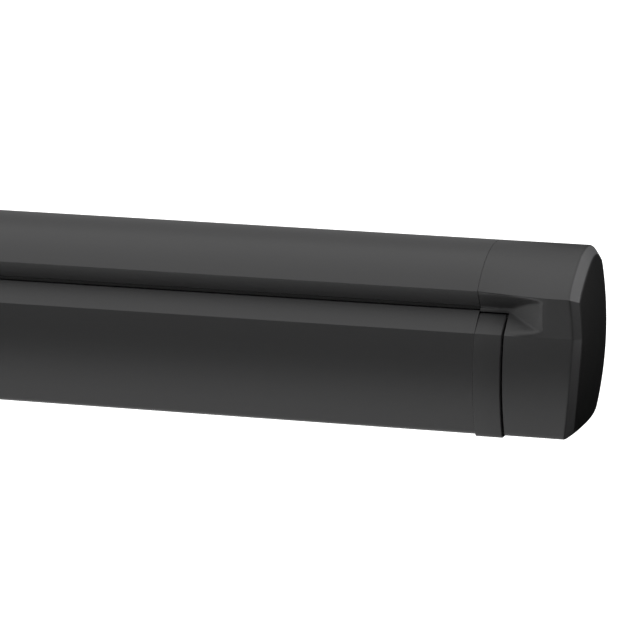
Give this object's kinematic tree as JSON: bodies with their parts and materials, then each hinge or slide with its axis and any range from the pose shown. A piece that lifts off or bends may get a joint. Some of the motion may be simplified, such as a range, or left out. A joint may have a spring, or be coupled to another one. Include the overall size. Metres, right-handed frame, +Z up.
{
  "type": "roll out awning",
  "caption": "Wall-mounted cassette awning for a caravan or camper: a long closed case, a folding-arm lead bar with two telescopic legs, and a canopy wound on a geared roller.",
  "frame": {"origin": "middle of the middle wall bracket's bolt pattern, on the wall plane", "axes": "+X along the awning to its right end seen from the front, +Y into the wall, +Z up"},
  "size_m": [2.6, 0.1001, 0.1302],
  "materials": {
    "case_coat": "anthracite powder coat, satin",
    "bar_coat": "anthracite powder coat, satin",
    "cover_plastic": "moulded, satin",
    "plate_aluminium": "mill finish",
    "arm_anodised": "satin anodised",
    "leg_anodised": "satin anodised",
    "arm_casting": "cast and coated grey",
    "steel": "zinc plated",
    "wheel_brass": "machined",
    "dark_plastic": "moulded, fine grain",
    "seal_rubber": "matt",
    "canopy_cloth": "coated woven cloth"
  },
  "bodies": {
    "case": {"case_shell": "case_coat", "nose_seal": "seal_rubber", "bracket_lock_screws": "steel", "end_plate_right": "plate_aluminium", "end_plate_left": "plate_aluminium", "end_plate_screws": "steel", "end_cover_right": "cover_plastic", "end_cover_left": "cover_plastic", "roller_bearing": "dark_plastic", "winch_housing": "arm_casting", "shoulder_brackets": "arm_casting", "shoulder_bolts": "steel", "shoulder_pins": "steel", "wall_bracket_left": "case_coat", "wall_bracket_middle": "case_coat", "wall_bracket_right": "case_coat"},
    "roller": {"roller_tube": "plate_aluminium", "fabric_roll": "canopy_cloth", "roller_plug_right": "dark_plastic", "roller_plug_left": "dark_plastic", "winch_wheel": "wheel_brass"},
    "worm": {"winch_worm": "steel", "crank_eye": "steel"},
    "canopy": {"fabric_panel": "canopy_cloth"},
    "front_bar": {"lead_bar": "bar_coat", "lead_bar_cap_right": "cover_plastic", "lead_bar_cap_left": "cover_plastic", "lead_bar_cap_screws": "steel", "wrist_brackets": "arm_casting", "wrist_pins": "steel", "front_hem_rod": "plate_aluminium", "leg_brackets": "steel", "leg_hinge_pins": "steel", "leg_clips": "dark_plastic"},
    "inner_arm_right": {"inner_arm_tube_right": "arm_anodised", "shoulder_knuckle_right": "arm_casting", "elbow_fork_right": "arm_casting", "elbow_pin_right": "steel"},
    "outer_arm_right": {"outer_arm_tube_right": "arm_anodised", "elbow_tongue_right": "arm_casting", "wrist_tongue_right": "arm_casting"},
    "leg_right": {"leg_outer_tube_right": "leg_anodised", "leg_knuckle_right": "dark_plastic", "leg_collar_right": "dark_plastic"},
    "leg_slide_right": {"leg_inner_tube_right": "leg_anodised"},
    "foot_right": {"leg_foot_right": "dark_plastic"},
    "lever_right": {"leg_lock_lever_right": "dark_plastic"},
    "inner_arm_left": {"inner_arm_tube_left": "arm_anodised", "shoulder_knuckle_left": "arm_casting", "elbow_fork_left": "arm_casting", "elbow_pin_left": "steel"},
    "outer_arm_left": {"outer_arm_tube_left": "arm_anodised", "elbow_tongue_left": "arm_casting", "wrist_tongue_left": "arm_casting"},
    "leg_left": {"leg_outer_tube_left": "leg_anodised", "leg_knuckle_left": "dark_plastic", "leg_collar_left": "dark_plastic"},
    "leg_slide_left": {"leg_inner_tube_left": "leg_anodised"},
    "foot_left": {"leg_foot_left": "dark_plastic"},
    "lever_left": {"leg_lock_lever_left": "dark_plastic"}
  },
  "joints": [
    {"name": "arms_open", "type": "hinge", "parent": "case", "child": "inner_arm_right", "pos_m": [1.15, -0.025, -0.022], "axis": [0, -0.1392, 0.9903], "range_deg": [0, 70.51]},
    {"name": "elbow_right", "type": "hinge", "parent": "inner_arm_right", "child": "outer_arm_right", "pos_m": [0.08, -0.03787, -0.02381], "axis": [0, -0.1392, 0.9903], "range_deg": [-141.01, 0]},
    {"name": "wrist_right", "type": "hinge", "parent": "outer_arm_right", "child": "front_bar", "pos_m": [1.15, -0.05075, -0.02562], "axis": [0, -0.1392, 0.9903], "range_deg": [0, 70.51]},
    {"name": "arm_left", "type": "hinge", "parent": "case", "child": "inner_arm_left", "pos_m": [-1.15, -0.025, -0.022], "axis": [0, -0.1392, 0.9903], "range_deg": [-70.51, 0]},
    {"name": "elbow_left", "type": "hinge", "parent": "inner_arm_left", "child": "outer_arm_left", "pos_m": [-0.08, -0.03787, -0.02381], "axis": [0, -0.1392, 0.9903], "range_deg": [0, 141.01]},
    {"name": "canopy_run", "type": "slide", "parent": "case", "child": "canopy", "axis": [0, -0.9903, -0.1392], "range_m": [0, 2.00001], "deforming": ["fabric_panel"]},
    {"name": "roller_spin", "type": "hinge", "parent": "case", "child": "roller", "pos_m": [0, -0.044, 0.031], "axis": [1, 0, 0], "range_deg": [-4538.38, 0]},
    {"name": "worm_spin", "type": "hinge", "parent": "case", "child": "worm", "pos_m": [-1.262, -0.06475, 0.031], "axis": [0, 0, 1], "range_deg": [-49922.08, 0]},
    {"name": "leg_swing_right", "type": "hinge", "parent": "front_bar", "child": "leg_right", "pos_m": [1.185, -0.079, -0.0385], "axis": [0, -1, 0], "range_deg": [0, 90]},
    {"name": "leg_extend_right", "type": "slide", "parent": "leg_right", "child": "leg_slide_right", "axis": [-1, 0, 0], "range_m": [0, 0.90001]},
    {"name": "leg_foot_right", "type": "hinge", "parent": "leg_slide_right", "child": "foot_right", "pos_m": [0.063, -0.079, -0.0385], "axis": [0, -1, 0], "range_deg": [-90, 0]},
    {"name": "lever_right", "type": "hinge", "parent": "leg_right", "child": "lever_right", "pos_m": [0.1289, -0.079, -0.0536], "axis": [0, 1, 0], "range_deg": [0, 75]},
    {"name": "leg_swing_left", "type": "hinge", "parent": "front_bar", "child": "leg_left", "pos_m": [-1.185, -0.079, -0.0385], "axis": [0, 1, 0], "range_deg": [0, 90]},
    {"name": "leg_extend_left", "type": "slide", "parent": "leg_left", "child": "leg_slide_left", "axis": [1, 0, 0], "range_m": [0, 0.90001]},
    {"name": "leg_foot_left", "type": "hinge", "parent": "leg_slide_left", "child": "foot_left", "pos_m": [-0.063, -0.079, -0.0385], "axis": [0, 1, 0], "range_deg": [-90, 0]},
    {"name": "lever_left", "type": "hinge", "parent": "leg_left", "child": "lever_left", "pos_m": [-0.1289, -0.079, -0.0536], "axis": [0, -1, 0], "range_deg": [0, 75]}
  ],
  "couplings": [
    {"joint": "elbow_right", "follows": "arms_open", "ratio": -2},
    {"joint": "wrist_right", "follows": "arms_open", "ratio": 1},
    {"joint": "arm_left", "follows": "arms_open", "ratio": -1},
    {"joint": "elbow_left", "follows": "arms_open", "ratio": 2},
    {"joint": "canopy_run", "follows": "arms_open", "m_per_rad": 1.6253},
    {"joint": "roller_spin", "follows": "arms_open", "ratio": -64.368},
    {"joint": "worm_spin", "follows": "arms_open", "ratio": -708.04},
    {"joint": "leg_extend_right", "follows": "leg_swing_right", "m_per_rad": 0.57296},
    {"joint": "leg_foot_right", "follows": "leg_swing_right", "ratio": -1},
    {"joint": "leg_extend_left", "follows": "leg_swing_left", "m_per_rad": 0.57296},
    {"joint": "leg_foot_left", "follows": "leg_swing_left", "ratio": -1}
  ]
}
